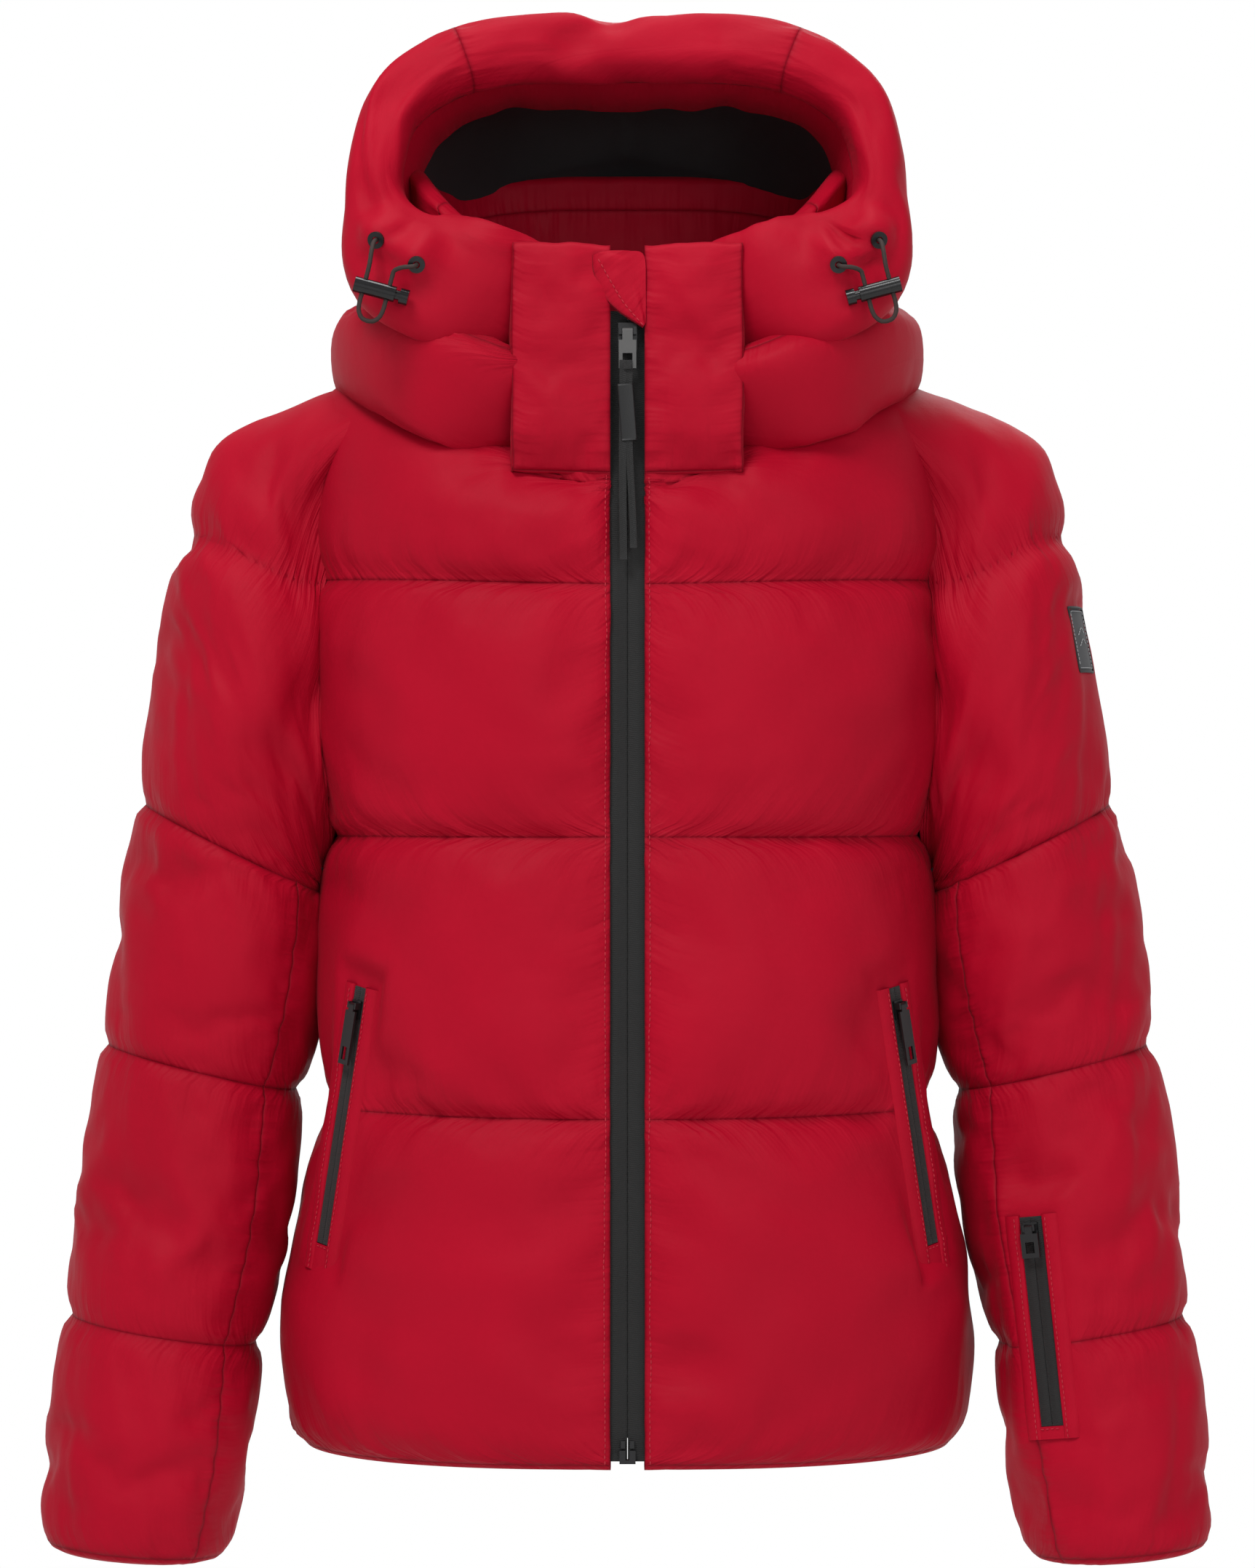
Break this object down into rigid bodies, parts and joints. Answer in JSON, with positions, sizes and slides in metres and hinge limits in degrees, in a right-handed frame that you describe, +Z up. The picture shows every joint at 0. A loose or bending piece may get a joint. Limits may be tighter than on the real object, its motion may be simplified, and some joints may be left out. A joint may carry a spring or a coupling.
{
  "type": "ski jacket",
  "caption": "Hooded quilted ski jacket with raglan sleeves, front zip, hand and sleeve zip pockets and hood drawcords.",
  "frame": {"origin": "middle of the hanger loop inside the back of the neck", "axes": "+X to the wearer's left, +Y to the jacket's back, +Z up"},
  "size_m": [0.63, 0.286, 0.8351],
  "materials": {
    "shell_fabric": "satin woven nylon, quilted",
    "padding": "polyester wadding",
    "lining_fabric": "smooth woven lining",
    "black_tape": "coated matt tape",
    "zip_coil": "matt",
    "black_metal": "satin black",
    "elastic_cord": "braided",
    "lock_plastic": "glossy",
    "spring_steel": "bright",
    "patch": "matt"
  },
  "bodies": {
    "root": {"front_panel_left": "shell_fabric", "front_panel_right": "shell_fabric", "side_panels": "shell_fabric", "back_panel": "shell_fabric", "padding_fronts": "padding", "padding_sides": "padding", "padding_back": "padding", "body_lining": "lining_fabric", "sleeve_caps": "shell_fabric", "sleeve_cap_padding": "padding", "collar_fronts": "shell_fabric", "collar_back": "shell_fabric", "zip_garage": "shell_fabric", "hanger_loop": "black_tape", "zip_tapes": "black_tape", "zip_coils": "zip_coil", "zip_box": "black_metal", "zip_pin": "black_metal", "pocket_zips": "black_tape", "pocket_bags": "lining_fabric", "hood_band": "shell_fabric", "hood_rim_sides": "shell_fabric", "hood_nape": "shell_fabric", "eyelets": "black_metal", "drawcord_left": "elastic_cord", "drawcord_right": "elastic_cord", "sleeve_patch": "patch"},
    "hood": {"hood_rim_top": "shell_fabric", "hood_centre_panel": "shell_fabric", "hood_side_panels": "shell_fabric", "hood_padding": "padding", "hood_lining": "lining_fabric"},
    "arm_left": {"sleeve_upper_left": "shell_fabric", "sleeve_padding_upper_left": "padding", "sleeve_lining_upper_left": "lining_fabric"},
    "forearm_left": {"sleeve_lower_left": "shell_fabric", "sleeve_padding_lower_left": "padding", "sleeve_lining_lower_left": "lining_fabric", "sleeve_zip": "black_tape"},
    "arm_right": {"sleeve_upper_right": "shell_fabric", "sleeve_padding_upper_right": "padding", "sleeve_lining_upper_right": "lining_fabric"},
    "forearm_right": {"sleeve_lower_right": "shell_fabric", "sleeve_padding_lower_right": "padding", "sleeve_lining_lower_right": "lining_fabric"},
    "main_slider": {"main_slider": "black_metal"},
    "main_pull": {"main_pull": "black_metal", "pull_ribbon": "black_tape"},
    "pocket_slider_left": {"pocket_slider_left": "black_metal"},
    "pocket_pull_left": {"pocket_pull_left": "black_metal"},
    "pocket_slider_right": {"pocket_slider_right": "black_metal"},
    "pocket_pull_right": {"pocket_pull_right": "black_metal"},
    "sleeve_slider": {"sleeve_slider": "black_metal"},
    "sleeve_pull": {"sleeve_pull": "black_metal"},
    "cord_lock_left": {"cord_lock_left": "lock_plastic", "lock_spring_left": "spring_steel"},
    "cord_lock_right": {"cord_lock_right": "lock_plastic", "lock_spring_right": "spring_steel"},
    "lock_button_left": {"lock_button_left": "lock_plastic"},
    "lock_button_right": {"lock_button_right": "lock_plastic"}
  },
  "joints": [
    {"name": "main_zip_slide", "type": "slide", "parent": "root", "child": "main_slider", "axis": [0, -0.041, -0.9992], "range_m": [0, 0.565]},
    {"name": "main_pull_swing", "type": "hinge", "parent": "main_slider", "child": "main_pull", "pos_m": [0, -0.18432, -0.01239], "axis": [-1, 0, 0], "range_deg": [0, 80]},
    {"name": "pocket_left_slide", "type": "slide", "parent": "root", "child": "pocket_slider_left", "axis": [0.1522, 0.0955, -0.9837], "range_m": [0, 0.118]},
    {"name": "pocket_pull_left_swing", "type": "hinge", "parent": "pocket_slider_left", "child": "pocket_pull_left", "pos_m": [0.14592, -0.1548, -0.36875], "axis": [-0.6507, -0.7395, -0.1725], "range_deg": [0, 100]},
    {"name": "pocket_right_slide", "type": "slide", "parent": "root", "child": "pocket_slider_right", "axis": [-0.1522, 0.0955, -0.9837], "range_m": [0, 0.118]},
    {"name": "pocket_pull_right_swing", "type": "hinge", "parent": "pocket_slider_right", "child": "pocket_pull_right", "pos_m": [-0.14592, -0.1548, -0.36875], "axis": [-0.6507, 0.7395, 0.1725], "range_deg": [0, 100]},
    {"name": "sleeve_zip_slide", "type": "slide", "parent": "forearm_left", "child": "sleeve_slider", "axis": [0.1025, -0.0446, -0.9937], "range_m": [0, 0.094]},
    {"name": "sleeve_pull_swing", "type": "hinge", "parent": "sleeve_slider", "child": "sleeve_pull", "pos_m": [0.21458, -0.1413, -0.48849], "axis": [-0.8868, 0.4484, -0.1116], "range_deg": [0, 100]},
    {"name": "cord_lock_left_slide", "type": "slide", "parent": "root", "child": "cord_lock_left", "axis": [-0.2588, 0, 0.9659], "range_m": [-0.004, 0.004]},
    {"name": "lock_button_left_press", "type": "slide", "parent": "cord_lock_left", "child": "lock_button_left", "axis": [0.9659, 0, 0.2588], "range_m": [0, 0.0022], "stiffness_N_per_m": 600, "deforming": ["lock_spring_left"]},
    {"name": "cord_lock_right_slide", "type": "slide", "parent": "root", "child": "cord_lock_right", "axis": [0.2588, 0, 0.9659], "range_m": [-0.004, 0.004]},
    {"name": "lock_button_right_press", "type": "slide", "parent": "cord_lock_right", "child": "lock_button_right", "axis": [-0.9659, 0, 0.2588], "range_m": [0, 0.0022], "stiffness_N_per_m": 600, "deforming": ["lock_spring_right"]},
    {"name": "hood_lean", "type": "hinge", "parent": "root", "child": "hood", "pos_m": [0, -0.139, 0.033], "axis": [-1, 0, 0], "range_deg": [0, 11]},
    {"name": "arm_left_swing", "type": "hinge", "parent": "root", "child": "arm_left", "pos_m": [0.2155, -0.152, -0.2865], "axis": [-0.8989, 0, -0.4382], "range_deg": [0, 35]},
    {"name": "elbow_left_bend", "type": "hinge", "parent": "arm_left", "child": "forearm_left", "pos_m": [0.234, -0.148, -0.4055], "axis": [-0.9723, 0, -0.2337], "range_deg": [0, 45]},
    {"name": "arm_right_swing", "type": "hinge", "parent": "root", "child": "arm_right", "pos_m": [-0.2155, -0.152, -0.2865], "axis": [-0.8989, 0, 0.4382], "range_deg": [0, 35]},
    {"name": "elbow_right_bend", "type": "hinge", "parent": "arm_right", "child": "forearm_right", "pos_m": [-0.234, -0.148, -0.4055], "axis": [-0.9723, 0, 0.2337], "range_deg": [0, 45]}
  ]
}
